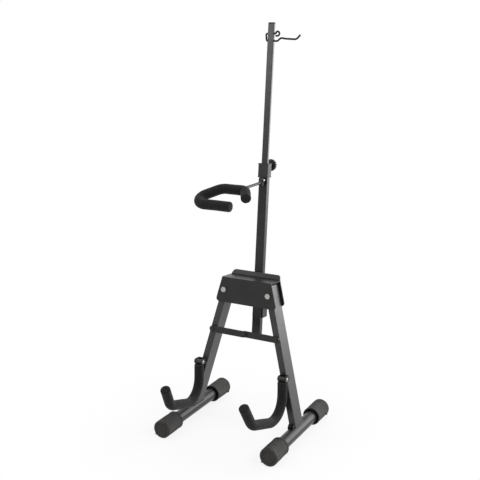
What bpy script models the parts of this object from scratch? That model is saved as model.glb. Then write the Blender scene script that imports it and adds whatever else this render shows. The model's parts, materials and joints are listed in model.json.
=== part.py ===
"""Folding violin stand with two foam arms, a foam neck yoke, a telescoping mast and a bow hook.

Metres, +Z up. +X is the stand's right as seen from the front, -Y is the front, where the
instrument faces. The origin is on the floor, midway between the feet.
"""
import math

import bmesh
import bpy
from mathutils import Matrix, Vector

# Clearances
GAP = 0.0003            # between pieces that are welded, riveted or pressed together
PLAY = 0.0003           # around a pin or rod in its hole
SIDE_PLAY = 0.0004      # between plates that turn past each other

# The frame's stance
TILT = math.radians(5.3)        # backward lean of the legs and mast
SPREAD = math.radians(14.64)    # outward lean of each leg
FOOT_HALF = 0.1094              # middle plane to each foot's axis
LEG_SET = 0.0041                # leg plane behind the middle of the feet, at foot axis height

# Feet
FOOT_LEN = 0.2314
FOOT_R = 0.0116
FOOT_WALL = 0.0015
CAP_R = 0.0170
CAP_LEN = 0.0490
CAP_END = 0.0040
CAP_RIB = 0.0005
CAP_RIBS = 16
CAP_EDGE = 0.0025
CAP_MOUTH_R = 0.0146     # the mouth stands off the foot tube
CAP_MOUTH_LEN = 0.0060

# Legs
LEG_W = 0.0124
LEG_D = 0.0330
LEG_WALL = 0.0015
LEG_EDGE = 0.0012
LEG_REACH = 0.2530      # foot axis to hub pivot, along the leg
LEG_OVER = 0.0165       # leg above its pivot
PLUG_W = 0.0112         # plug in front of the leg, on the foot tube
PLUG_LEN = 0.0065
PLUG_H = 0.0060
PLUG_SLOPE = 0.0020     # set back of the plug's upper edge
PLUG_SHOULDER = 0.0042  # height that the slope takes

# Hub saddle
PLATE = 0.0022
HUB_DROP = 0.0240       # lower edge below the pivots
HUB_RISE = 0.0215       # underside of the top web above the pivots
FRONT_WING = 0.0110     # plate edge outside the leg's axis, front and rear
REAR_WING = 0.0110
HUB_LIP = 0.0083        # rear plate above the web, bent back
LIP_LEAN = math.radians(35)
HUB_CORNER = 0.0060
HUB_TOP_CORNER = 0.0020
PIVOT_R = 0.0030
HEAD_R = 0.0055
HEAD_H = 0.0030
NUT_R = 0.0058
NUT_H = 0.0042
TAIL = 0.0015           # screw end beyond its nut

# Mast
MAST_BACK = 0.0340      # mast axis behind the leg plane
OUTER_W = 0.0170
OUTER_D = 0.0112
OUTER_WALL = 0.0015
OUTER_FOOT = 0.1460     # heights along the mast, from foot axis height
OUTER_TOP = 0.4702
INNER_W = 0.0121
INNER_D = 0.0058
INNER_WALL = 0.0008
INNER_FOOT = 0.3750
INNER_TOP = 0.7286
TUBE_EDGE = 0.0008
GUIDE_H = 0.0160
GUIDE_PLUG = 0.0100
TOP_CAP_H = 0.0026
TOP_CAP_SIDE = 0.0018   # straight part of the cap's edge
TOP_CAP_PLUG = 0.0100
TOP_CAP_EASE = 0.0006   # cap's top inside its edge

# Bracket between hub and mast
CHEEK = 0.0020
BRACKET_BEHIND = 0.0120     # mast's rear face to the channel's rear
BRACKET_AHEAD = 0.0046      # mast's front face to the cheeks' lower front edge
BRACKET_OVER = 0.0162       # leg pivots to the bracket's top
BRACKET_H = 0.0730
FLANGE = 0.0130
FLANGE_H = 0.0390
RIVET_R = 0.0022
RIVET_HEAD_R = 0.0040
RIVET_HEAD_H = 0.0016
DOME_FLAT = 0.6         # a domed head's flat top and its shoulder, as shares of its size
DOME_SHOULDER = 0.4

# Clamp collar and knob
COLLAR_W = 0.0200
COLLAR_D = 0.0160
COLLAR_FOOT = 0.4537
COLLAR_TOP = 0.4790
COLLAR_EDGE = 0.0015
COLLAR_RIM = 0.0005     # rim standing out at the collar's two ends
COLLAR_RIM_H = 0.0018
BOSS_R = 0.0039         # boss at the collar's back, which carries the knob
BOSS_H = 0.0128
KNOB_R = 0.0114
KNOB_H = 0.0073
KNOB_LOBES = 8
KNOB_GROOVE = 0.0008
KNOB_DROP = 0.0040      # collar's top to the knob's axis
KNOB_LIFT = 0.0004      # knob off its boss
KNOB_FACE = 0.0017      # how far the knob's outer face is drawn in, then its inner face
KNOB_BACK = 0.0009
SCREW_R = 0.0022

# Yoke and its pivot
CLEVIS_W = 0.0086
CLEVIS_CHEEK = 0.0014
CLEVIS_EDGE = 0.0020
CLEVIS_GAP = 0.0006     # clevis below the collar
CLEVIS_H = 0.0146
CLEVIS_REACH = 0.0088   # mast front to cheek tips
YOKE_PIVOT_OUT = 0.0048
YOKE_PIVOT_DROP = 0.0041    # clevis's top to its pivot
YOKE_PIN_R = 0.0016
YOKE_HEAD_R = 0.0027
YOKE_HEAD_H = 0.0012
LUG_R = 0.0040
LUG_DROP = 0.0047       # stem axis below the pivot
LUG_TAIL = 0.0088
LUG_TAIL_R = 0.0020
STEM_R = 0.0025
STEM_LEN = 0.0877
FOAM_R = 0.0093
FOAM_EDGE = 0.0022
FOAM_END = 0.0060       # foam beyond the end of its rod
LOOP_DROOP = math.radians(22.0)
LOOP_CORNERS = ((0.0275, 0.0270), (0.0130, 0.0005), (-0.0330, 0.0), (-0.0788, 0.0542), (0.0125, 0.0542))
LOOP_BENDS = (0.011, 0.020, 0.018)

# Support arms
ARM_PIVOT = (0.0875, -0.0154, 0.1198)
ARM_REAR_CORNER = (0.0880, -0.0169, 0.0380)
ARM_FRONT_CORNER = (0.0823, -0.1240, 0.0743)
ARM_TIP = (0.0781, -0.1464, 0.1164)
ARM_BENDS = (0.036, 0.028)
ARM_ROD_R = 0.0030
ARM_EYE_R = 0.0045
ARM_EYE_W = 0.0116
ARM_PIN_R = 0.0020
ARM_HEAD_R = 0.0029
ARM_HEAD_H = 0.0014
ARM_BRACKET_R = 0.0050  # round end of its cheeks, about the pin
ARM_FOAM_GAP = 0.0014   # foam's upper end off the cheeks

# Knee brace
BRACE_AT = 0.1722       # brace pin above the foot axis, along the leg
BRACE_H = 0.0118
BRACE_T = 0.0025
BRACE_PIN_R = 0.0020
BRACE_HEAD_R = 0.0038
BRACE_HEAD_H = 0.0016

# Bow hook, threaded through the mast at two heights
HOOK_R = 0.0017
HOOK_EDGE = 0.0005
HOOK_DOWN = 0.0168      # mast's top to its upper hole
HOOK_SPAN = 0.0128      # between its two holes
HOOK_OUT = 0.0045       # wire's run down the left side, off the mast at its two ends
HOOK_OUT_LOW = 0.0028
HOOK_BEND = 0.0022
HOOK_KINK = 0.0020      # small bends where the eye meets its stem
HOOK_STUB = 0.0024      # mast's side to the end eye
HOOK_NECK = 0.0024      # the eye's slanted run
HOOK_EYE_OUT = 0.0100   # mast's side to the far side of the end eye
HOOK_EYE_H = 0.0077
HOOK_SEAT = ((0.0059, -0.0008), (0.0134, 0.0056), (0.0214, 0.0040), (0.0440, 0.0028), (0.0512, 0.0108))
HOOK_SEAT_BENDS = (0.006, 0.005, 0.006, 0.020, 0.007)

# Sides of round pieces, and how far a bend turns between rings
ROUND = 24
SMALL_ROUND = 16
ROD_ROUND = 12
WIRE_ROUND = 10
KNOB_POINTS = 40
FOAM_STEP = math.radians(14)
WIRE_STEP = math.radians(26)
SMOOTH_UNDER = math.radians(35)
ALMOST = 0.98           # share of a half width that rounds an end fully, with no two points met

PAINT = (0.045, 0.045, 0.048)
FOAM_BLACK = (0.030, 0.029, 0.029)
RUBBER_BLACK = (0.050, 0.048, 0.047)
PLASTIC_BLACK = (0.030, 0.030, 0.032)
ZINC = (0.55, 0.55, 0.55)

FINISHES = {
    'paint': (PAINT, 0.42, 0.25),
    'foam': (FOAM_BLACK, 0.92, 0.0),
    'rubber': (RUBBER_BLACK, 0.75, 0.0),
    'plastic': (PLASTIC_BLACK, 0.55, 0.0),
    'zinc': (ZINC, 0.35, 1.0),
}
SIDES = {'right': 1, 'left': -1}

# Positions that follow from the sizes, in the leaning frame of the legs and mast
PIVOT_X = FOOT_HALF - LEG_REACH * math.sin(SPREAD)
PIVOT_Z = LEG_REACH * math.cos(SPREAD)
LEG_FRONT = -LEG_D / 2
HUB_IN = LEG_D / 2 + SIDE_PLAY
MAST_FRONT = MAST_BACK - OUTER_D / 2
BRACKET_FRONT = HUB_IN + PLATE + GAP
BRACKET_BACK = MAST_BACK + OUTER_D / 2 + BRACKET_BEHIND
BRACKET_TOP = PIVOT_Z + BRACKET_OVER
BRACKET_FOOT = BRACKET_TOP - BRACKET_H
BRACKET_STEP = BRACKET_TOP - FLANGE_H
RIVET_X = OUTER_W / 2 + GAP + CHEEK + FLANGE / 2
RIVET_Z = (BRACKET_STEP + BRACKET_TOP) / 2
KNOB_Z = COLLAR_TOP - KNOB_DROP
CLEVIS_TOP = COLLAR_FOOT - CLEVIS_GAP
CLEVIS_FOOT = CLEVIS_TOP - CLEVIS_H
YOKE_PIVOT_Z = CLEVIS_TOP - YOKE_PIVOT_DROP
HOOK_HIGH_Z = INNER_TOP - HOOK_DOWN
HOOK_LOW_Z = HOOK_HIGH_Z - HOOK_SPAN
FRAME = Matrix.Translation((0, LEG_SET, CAP_R)) @ Matrix.Rotation(-TILT, 4, 'X')
WORLD_OF = {}           # each joint empty's object and world matrix


# Mesh helpers
def shift(x, y, z):
    return Matrix.Translation((x, y, z))


def along(axis, level, a, b):
    """A point at a level on an axis, with the other two coordinates in X, Y, Z order."""
    return {'X': (level, a, b), 'Y': (a, level, b), 'Z': (a, b, level)}[axis]


def loft(bm, rings, start=True, end=True):
    """Join rings of equal count, and close either end with a flat face."""
    verts = [[bm.verts.new(p) for p in ring] for ring in rings]
    for a, b in zip(verts, verts[1:]):
        bridge(bm, a, b)
    if start:
        bm.faces.new(list(reversed(verts[0])))
    if end:
        bm.faces.new(verts[-1])
    return verts


def bridge(bm, a, b):
    count = len(a)
    for i in range(count):
        j = (i + 1) % count
        bm.faces.new((a[i], a[j], b[j], b[i]))


def closed_loft(bm, rings):
    """A ring-shaped body: the last ring joins back to the first."""
    verts = loft(bm, rings, False, False)
    bridge(bm, verts[-1], verts[0])


def box(bm, low, high):
    size = [high[i] - low[i] for i in range(3)]
    middle = [(high[i] + low[i]) / 2 for i in range(3)]
    bmesh.ops.create_cube(bm, size=1.0, matrix=shift(*middle) @ Matrix.Diagonal((*size, 1.0)))


def prism(bm, outline, axis, low, high):
    """Extrude a 2-D outline along an axis."""
    loft(bm, [[along(axis, level, a, b) for a, b in outline] for level in (low, high)])


def circle(radius, count=SMALL_ROUND):
    step = 2 * math.pi / count
    return [(radius * math.cos((i + 0.5) * step), radius * math.sin((i + 0.5) * step)) for i in range(count)]


def hexagon(radius, count=ROUND):
    """A hexagon across corners of twice the radius, with extra points on its sides."""
    sixth = math.pi / 3
    out = []
    for i in range(count):
        angle = (i + 0.5) * 2 * math.pi / count
        r = radius * math.cos(sixth / 2) / math.cos(angle % sixth - sixth / 2)
        out.append((r * math.cos(angle), r * math.sin(angle)))
    return out


def rounded(points, radii, steps=4):
    """Round the corners of a convex outline, each to its radius."""
    out = []
    count = len(points)
    for i, point in enumerate(points):
        here = Vector(point)
        if not radii[i]:
            out.append(tuple(here))
            continue
        before, after = Vector(points[i - 1]), Vector(points[(i + 1) % count])
        out += [tuple(p) for p in corner_arc(before, here, after, radii[i], lambda turn: steps)]
    return out


def corner_arc(before, here, after, radius, count_for):
    """Points of the arc that rounds a corner, in as many steps as count_for gives for its turn."""
    back = (before - here).normalized()
    ahead = (after - here).normalized()
    half = back.angle(ahead) / 2
    centre = here + (back + ahead).normalized() * (radius / math.sin(half))
    first = here + back * (radius / math.tan(half)) - centre
    last = here + ahead * (radius / math.tan(half)) - centre
    count = count_for(math.pi - 2 * half)
    return [centre + first.slerp(last, k / count) * radius for k in range(count + 1)]


def rectangle(width, depth, edge):
    x, y = width / 2, depth / 2
    return rounded([(-x, -y), (x, -y), (x, y), (-x, y)], [edge] * 4, 2)


def filleted_path(corners, bends, step):
    """A path through 3-D corners, each inner corner rounded to its bend radius."""
    points = [Vector(p) for p in corners]
    path = [points[0]]
    for i, radius in enumerate(bends, 1):
        path += corner_arc(*points[i - 1:i + 2], radius, lambda turn: max(2, math.ceil(turn / step)))
    path.append(points[-1])
    return path


def shortened(path, length):
    """The path without a length at its start."""
    points = list(path)
    while length > (points[1] - points[0]).length:
        length -= (points[1] - points[0]).length
        points.pop(0)
    points[0] = points[0] + (points[1] - points[0]).normalized() * length
    return points


def trimmed(path, start, end):
    return shortened(shortened(path, start)[::-1], end)[::-1]


def sweep_rings(path, radii, count):
    """Rings square to a path, kept from twisting."""
    side = (path[1] - path[0]).orthogonal()
    rings = []
    for i, point in enumerate(path):
        tangent = (path[min(i + 1, len(path) - 1)] - path[max(i - 1, 0)]).normalized()
        side = (side - tangent * side.dot(tangent)).normalized()
        other = tangent.cross(side)
        rings.append([point + side * u + other * v for u, v in circle(radii[i], count)])
    return rings


def bar(bm, path, radius, edge=0.0, count=SMALL_ROUND, start=True):
    """A round bar along a path, its closed ends chamfered by edge."""
    radii = [radius] * len(path)
    if edge:
        inner = trimmed(path, edge if start else 0.0, edge)
        radii = [radius] * len(inner) + [radius - edge]
        path_end = path[-1]
        if start:
            inner.insert(0, path[0])
            radii.insert(0, radius - edge)
        path = inner + [path_end]
    return loft(bm, sweep_rings(path, radii, count), start)


def sleeve(bm, path, radius, bore, end, edge):
    """A tube along a path, open at its start, its bore stopping short of the far end."""
    outer = bar(bm, path, radius, edge, SMALL_ROUND, False)
    inner = bar(bm, trimmed(path, 0.0, end), bore, 0.0, SMALL_ROUND, False)
    bridge(bm, outer[0], inner[0])


def turned(bm, axis, at, sections, count=ROUND):
    """A solid turned on an axis through a point, from (outline, level) sections."""
    rings = []
    for outline, level in sections:
        points = outline if isinstance(outline, list) else circle(outline, count)
        rings.append([Vector(at) + Vector(along(axis, level, a, b)) for a, b in points])
    loft(bm, rings)


def rivet(bm, axis, at, stops, radius, head, dome):
    """A shank between two levels, with a domed head outside each."""
    low, high = stops
    top = DOME_FLAT * head
    shoulder = DOME_SHOULDER * dome
    sections = ((top, low - dome), (head, low - shoulder), (head, low), (radius, low),
                (radius, high), (head, high), (head, high + shoulder), (top, high + dome))
    turned(bm, axis, at, sections, SMALL_ROUND)


# Object helpers
def material_for(name, colour, roughness, metallic):
    material = bpy.data.materials.new(name)
    material.use_nodes = True
    shader = material.node_tree.nodes['Principled BSDF']
    shader.inputs['Base Color'].default_value = (*colour, 1.0)
    shader.inputs['Roughness'].default_value = roughness
    shader.inputs['Metallic'].default_value = metallic
    return material


def set_smooth(mesh):
    mesh.shade_smooth()
    mesh.set_sharp_from_angle(angle=SMOOTH_UNDER)


def linked(name, data):
    obj = bpy.data.objects.new(name, data)
    bpy.context.scene.collection.objects.link(obj)
    return obj


def mesh_from(name, bm):
    bmesh.ops.recalc_face_normals(bm, faces=bm.faces)
    mesh = bpy.data.meshes.new(name)
    bm.to_mesh(mesh)
    bm.free()
    return mesh


def place(obj, world, parent):
    """Set an object's world matrix under a parent, which is a joint in WORLD_OF."""
    obj.parent = WORLD_OF[parent][0] if parent else None
    obj.matrix_basis = WORLD_OF[parent][1].inverted() @ world if parent else world


def joint(name, world, parent=None):
    """An empty on a joint's axis, which carries the moving pieces."""
    empty = linked(name, None)
    empty.empty_display_size = 0.02
    place(empty, world, parent)
    WORLD_OF[name] = (empty, world)
    return name


def piece(name, world, parent, look, fill, add=(), cut=()):
    """Make one sub-part: fill its mesh, then join and cut further shapes in its own axes."""
    bm = bmesh.new()
    fill(bm)
    obj = linked(name, mesh_from(name, bm))
    for make in add:
        combine(obj, make, 'UNION')
    for make in cut:
        combine(obj, make, 'DIFFERENCE')
    set_smooth(obj.data)
    obj.data.materials.clear()
    obj.data.materials.append(material_for(name, *FINISHES[look]))
    place(obj, world, parent)
    return obj


def combine(obj, make, operation):
    bm = bmesh.new()
    make(bm)
    tool = linked('tool', mesh_from('tool', bm))
    tool.hide_render = True
    tool.display_type = 'WIRE'
    modifier = obj.modifiers.new('combine', 'BOOLEAN')
    modifier.operation = operation
    modifier.solver = 'EXACT'
    modifier.object = tool
    bpy.context.view_layer.update()
    graph = bpy.context.evaluated_depsgraph_get()
    mesh = bpy.data.meshes.new_from_object(obj.evaluated_get(graph))
    obj.modifiers.clear()
    obj.data = mesh
    mesh.name = obj.name
    bpy.data.objects.remove(tool, do_unlink=True)


def hole(axis, at, radius, low, high):
    """A round cutter between two levels on an axis through a point."""
    return lambda bm: turned(bm, axis, at, ((radius, low), (radius, high)), SMALL_ROUND)


def block(low, high):
    return lambda bm: box(bm, low, high)


# Feet
def rib_ring(radius, rib, level):
    """A ring of flat ribs about Y, one of them facing straight down."""
    count = CAP_RIBS * 4
    out = []
    for i in range(count):
        angle = (i - 0.5) * 2 * math.pi / count - math.pi / 2
        r = (radius - (rib if i % 4 > 1 else 0.0)) / math.cos(math.pi / count)
        out.append((r * math.cos(angle), level, r * math.sin(angle)))
    return out


def fill_cap(bm):
    bore = FOOT_R + GAP
    lip = CAP_EDGE / 2
    outer = loft(bm, [rib_ring(bore, 0, CAP_LEN - CAP_MOUTH_LEN), rib_ring(CAP_MOUTH_R, 0, CAP_LEN - lip),
                      rib_ring(CAP_MOUTH_R, 0, CAP_LEN), rib_ring(CAP_R - lip, 0, CAP_LEN),
                      rib_ring(CAP_R, CAP_RIB, CAP_LEN - lip), rib_ring(CAP_R, CAP_RIB, CAP_EDGE),
                      rib_ring(CAP_R - CAP_EDGE, 0, 0)], False, True)
    bridge(bm, outer[0], loft(bm, [rib_ring(bore, 0, CAP_END)], False, True)[0])


def fill_foot(bm):
    half = FOOT_LEN / 2 - CAP_END - GAP
    rings = ((FOOT_R - FOOT_WALL, -half), (FOOT_R, -half), (FOOT_R, half), (FOOT_R - FOOT_WALL, half))
    closed_loft(bm, [[(a, level, b) for a, b in circle(radius, ROUND)] for radius, level in rings])


def make_foot(tag, side, leg):
    centre = shift(side * FOOT_HALF, 0, CAP_R)
    piece('foot_tube_' + tag, centre, leg, 'paint', fill_foot)
    for end, turn in (('front', 0.0), ('rear', math.pi)):
        world = centre @ Matrix.Rotation(turn, 4, 'Z') @ shift(0, -FOOT_LEN / 2, 0)
        piece('foot_cap_%s_%s' % (end, tag), world, leg, 'rubber', fill_cap)
    cope = hole('Y', (0, 0, 0), FOOT_R + GAP, -LEG_D, LEG_D)
    leaning = centre @ Matrix.Rotation(-side * SPREAD, 4, 'Y')
    piece('leg_plug_' + tag, leaning, leg, 'plastic', fill_plug, (), (cope,))


def fill_plug(bm):
    """The plug's side view, against the leaning front face of the leg."""
    low = FOOT_R / 2
    high = FOOT_R + GAP + PLUG_H
    slope = math.tan(TILT)
    face = LEG_SET - (LEG_D / 2 + GAP) / math.cos(TILT)
    front = face - PLUG_LEN
    top = face + high * slope
    outline = ((face + low * slope, low), (top, high), (top - PLUG_SLOPE, high),
               (front, high - PLUG_SHOULDER), (front, low))
    prism(bm, outline, 'X', -PLUG_W / 2, PLUG_W / 2)


# Legs
def leg_matrix(side):
    return FRAME @ shift(side * PIVOT_X, 0, PIVOT_Z) @ Matrix.Rotation(-side * SPREAD, 4, 'Y')


def fill_leg(bm):
    low = FOOT_R / 3 - LEG_REACH
    sizes = ((LEG_WALL, low), (0.0, low), (0.0, LEG_OVER), (LEG_WALL, LEG_OVER))
    closed_loft(bm, [[(x, y, level) for x, y in rectangle(LEG_W - 2 * wall, LEG_D - 2 * wall, LEG_EDGE)]
                     for wall, level in sizes])


def make_leg(tag, side):
    world = leg_matrix(side)
    leg = joint('leg_joint_' + tag, world)
    to_foot = world.inverted() @ shift(side * FOOT_HALF, 0, CAP_R)

    def cope(bm):
        turned(bm, 'Y', (0, 0, 0), ((FOOT_R + GAP, -LEG_D), (FOOT_R + GAP, LEG_D)))
        bmesh.ops.transform(bm, matrix=to_foot, verts=bm.verts)

    pivot = hole('Y', (0, 0, 0), PIVOT_R + PLAY, -LEG_D, LEG_D)
    brace = hole('Y', (0, 0, BRACE_AT - LEG_REACH), BRACE_PIN_R + GAP, -LEG_D, 0)
    piece('leg_' + tag, world, leg, 'paint', fill_leg, (), (cope, pivot, brace))
    make_foot(tag, side, leg)
    return leg


# Hub and mast bracket
def hub_outline(wing, top, corner):
    """A plate edge that follows both legs' outer sides."""
    bottom = PIVOT_Z - HUB_DROP

    def reach(z):
        return PIVOT_X - (z - PIVOT_Z) * math.tan(SPREAD) + wing / math.cos(SPREAD)

    corners = [(-reach(bottom), bottom), (reach(bottom), bottom), (reach(top), top), (-reach(top), top)]
    return rounded(corners, [HUB_CORNER, HUB_CORNER, corner, corner])


def make_hub():
    web = PIVOT_Z + HUB_RISE
    top = web + PLATE
    front = hub_outline(FRONT_WING, top, HUB_TOP_CORNER)
    rear = hub_outline(REAR_WING, top + HUB_LIP, HUB_CORNER)
    reach = max(x for x, z in front if z > web)
    bend = top + PLATE / 2

    def rear_plate(bm):
        prism(bm, rear, 'Y', HUB_IN, HUB_IN + PLATE)
        parts = bm.verts[:] + bm.edges[:] + bm.faces[:]
        bmesh.ops.bisect_plane(bm, geom=parts, plane_co=(0, 0, bend), plane_no=(0, 0, 1))
        for vert in bm.verts:
            vert.co.y += max(0.0, vert.co.z - bend) * math.tan(LIP_LEAN)

    cuts = [hole('Y', (side * PIVOT_X, 0, PIVOT_Z), PIVOT_R + GAP, -LEG_D, LEG_D) for side in SIDES.values()]
    cuts += [hole('Y', (side * RIVET_X, 0, RIVET_Z), RIVET_R + GAP, 0, LEG_D) for side in SIDES.values()]
    piece('hub_saddle', FRAME, None, 'paint', lambda bm: prism(bm, front, 'Y', -HUB_IN - PLATE, -HUB_IN),
          (rear_plate, block((-reach, -HUB_IN - PLATE / 2, web), (reach, HUB_IN + PLATE / 2, top))), cuts)
    for tag, side in SIDES.items():
        make_hub_bolt(tag, FRAME @ shift(side * PIVOT_X, 0, PIVOT_Z))


def make_hub_bolt(tag, world):
    near = HUB_IN + PLATE + GAP
    far = near + NUT_H
    head = hexagon(HEAD_R)
    sections = ((head, -near - HEAD_H), (head, -near), (PIVOT_R, -near), (PIVOT_R, far + TAIL))
    piece('hub_bolt_' + tag, world, None, 'zinc', lambda bm: turned(bm, 'Y', (0, 0, 0), sections))
    bore = circle(PIVOT_R + PLAY, ROUND)
    rings = ((bore, near), (hexagon(NUT_R), near), (hexagon(NUT_R), far), (bore, far))
    piece('hub_nut_' + tag, world, None, 'zinc',
          lambda bm: closed_loft(bm, [[(a, level, b) for a, b in ring] for ring, level in rings]))


def make_bracket():
    inner = OUTER_W / 2 + GAP
    outer = inner + CHEEK
    middle = inner + CHEEK / 2
    step = MAST_FRONT + BRACKET_AHEAD
    profile = ((step, BRACKET_FOOT), (BRACKET_BACK, BRACKET_FOOT), (BRACKET_BACK, BRACKET_TOP),
               (BRACKET_FRONT, BRACKET_TOP), (BRACKET_FRONT, BRACKET_STEP), (step, BRACKET_STEP))
    add = [block((-middle, BRACKET_BACK - CHEEK, BRACKET_FOOT), (middle, BRACKET_BACK, BRACKET_TOP)),
           lambda bm: prism(bm, profile, 'X', -outer, -inner)]
    cut = []
    for side in SIDES.values():
        ends = sorted((side * middle, side * (outer + FLANGE)))
        add.append(block((ends[0], BRACKET_FRONT, BRACKET_STEP),
                         (ends[1], BRACKET_FRONT + CHEEK, BRACKET_TOP)))
        cut.append(hole('Y', (side * RIVET_X, 0, RIVET_Z), RIVET_R + GAP, LEG_D / 2, BRACKET_BACK))
    piece('mast_bracket', FRAME, None, 'paint', lambda bm: prism(bm, profile, 'X', inner, outer), add, cut)
    stops = (HUB_IN - GAP, BRACKET_FRONT + CHEEK + GAP)
    for tag, side in SIDES.items():
        piece('bracket_rivet_' + tag, FRAME @ shift(side * RIVET_X, 0, RIVET_Z), None, 'zinc',
              lambda bm: rivet(bm, 'Y', (0, 0, 0), stops, RIVET_R, RIVET_HEAD_R, RIVET_HEAD_H))


# Mast
def flat_tube(width, depth, wall, low, high):
    def fill(bm):
        sizes = ((wall, low), (0.0, low), (0.0, high), (wall, high))
        closed_loft(bm, [[(x, y, level) for x, y in rectangle(width - 2 * t, depth - 2 * t, TUBE_EDGE)]
                         for t, level in sizes])
    return fill


def stepped_block(sections):
    """Stacked rectangles, from (width, depth, level)."""
    return lambda bm: loft(bm, [[(x, y, level) for x, y in rectangle(width, depth, TUBE_EDGE)]
                                for width, depth, level in sections])


def make_mast():
    axis = FRAME @ shift(0, MAST_BACK, 0)
    piece('mast_lower', axis, None, 'paint', flat_tube(OUTER_W, OUTER_D, OUTER_WALL, OUTER_FOOT, OUTER_TOP))
    slide = joint('mast_slide', axis)
    holes = [hole('X', (0, 0, z), HOOK_R + PLAY, -INNER_W, INNER_W) for z in (HOOK_LOW_Z, HOOK_HIGH_Z)]
    piece('mast_upper', axis, slide, 'paint',
          flat_tube(INNER_W, INNER_D, INNER_WALL, INNER_FOOT, INNER_TOP), (), holes)
    plug_w = INNER_W - 2 * (INNER_WALL + GAP)
    plug_d = INNER_D - 2 * (INNER_WALL + GAP)
    guide_w = OUTER_W - 2 * (OUTER_WALL + PLAY)
    guide_d = OUTER_D - 2 * (OUTER_WALL + PLAY)
    foot = INNER_FOOT - GAP
    piece('mast_guide', axis, slide, 'plastic', stepped_block((
        (guide_w, guide_d, foot - GUIDE_H), (guide_w, guide_d, foot), (plug_w, plug_d, foot),
        (plug_w, plug_d, foot + GUIDE_PLUG))))
    top = INNER_TOP + GAP
    ease = 2 * TOP_CAP_EASE
    piece('mast_cap', axis, slide, 'plastic', stepped_block((
        (plug_w, plug_d, top - TOP_CAP_PLUG), (plug_w, plug_d, top), (INNER_W, INNER_D, top),
        (INNER_W, INNER_D, top + TOP_CAP_SIDE), (INNER_W - ease, INNER_D - ease, top + TOP_CAP_H))))
    piece('bow_hook', axis, slide, 'paint', lambda bm: bar(bm, hook_path(), HOOK_R, HOOK_EDGE, WIRE_ROUND))


def hook_path():
    """From the end eye, through the mast to the left, down, back through it and out to the seat."""
    eye = HOOK_EYE_H / 2
    side = INNER_W / 2
    stub = side + HOOK_STUB
    far = side + HOOK_EYE_OUT
    corners = [(stub, HOOK_HIGH_Z - eye), (far, HOOK_HIGH_Z - eye), (far, HOOK_HIGH_Z + eye),
               (stub + HOOK_NECK, HOOK_HIGH_Z + eye), (stub, HOOK_HIGH_Z), (-side - HOOK_OUT, HOOK_HIGH_Z),
               (-side - HOOK_OUT_LOW, HOOK_LOW_Z), (stub, HOOK_LOW_Z)]
    corners += [(side + out, HOOK_LOW_Z + rise) for out, rise in HOOK_SEAT]
    bends = [ALMOST * eye, ALMOST * eye, HOOK_KINK, HOOK_KINK, HOOK_BEND, HOOK_BEND, *HOOK_SEAT_BENDS]
    return filleted_path([(x, 0, z) for x, z in corners], bends, WIRE_STEP)


# Clamp collar and knob
def make_collar():
    axis = FRAME @ shift(0, MAST_BACK, 0)
    face = COLLAR_D / 2
    knob_foot = face + BOSS_H + KNOB_LIFT
    wide = 2 * COLLAR_RIM
    sections = ((wide, COLLAR_FOOT), (wide, COLLAR_FOOT + COLLAR_RIM_H), (0.0, COLLAR_FOOT + COLLAR_RIM_H),
                (0.0, COLLAR_TOP - COLLAR_RIM_H), (wide, COLLAR_TOP - COLLAR_RIM_H), (wide, COLLAR_TOP))
    low, high = COLLAR_FOOT - COLLAR_RIM_H, COLLAR_TOP + COLLAR_RIM_H
    socket = (OUTER_W / 2 + GAP, OUTER_D / 2 + GAP)
    bore = (INNER_W / 2 + PLAY, INNER_D / 2 + PLAY)
    cuts = (block((-socket[0], -socket[1], low), (socket[0], socket[1], OUTER_TOP + GAP)),
            block((-bore[0], -bore[1], low), (bore[0], bore[1], high)),
            hole('Y', (0, 0, KNOB_Z), SCREW_R + PLAY, 0, knob_foot))
    piece('clamp_collar', axis, None, 'plastic', lambda bm: loft(bm, [
        [(x, y, level) for x, y in rectangle(COLLAR_W + extra, COLLAR_D + extra, COLLAR_EDGE)]
        for extra, level in sections]), (hole('Y', (0, 0, KNOB_Z), BOSS_R, 0, face + BOSS_H),), cuts)
    knob_top = knob_foot + KNOB_H
    turn = joint('knob_joint', axis @ shift(0, 0, KNOB_Z))
    piece('clamp_knob', axis @ shift(0, 0, KNOB_Z), turn, 'plastic', lambda bm: turned(bm, 'Y', (0, 0, 0), (
        (SCREW_R, INNER_D / 2 + GAP), (SCREW_R, knob_foot), (knob_outline(KNOB_BACK), knob_foot),
        (knob_outline(0.0), knob_foot + KNOB_BACK), (knob_outline(0.0), knob_top - KNOB_FACE),
        (knob_outline(KNOB_FACE), knob_top)), KNOB_POINTS))


def knob_outline(inset):
    out = []
    for i in range(KNOB_POINTS):
        angle = (i + 0.5) * 2 * math.pi / KNOB_POINTS
        r = KNOB_R - inset - KNOB_GROOVE * (0.5 - 0.5 * math.cos(KNOB_LOBES * angle))
        out.append((r * math.cos(angle), r * math.sin(angle)))
    return out


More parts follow.
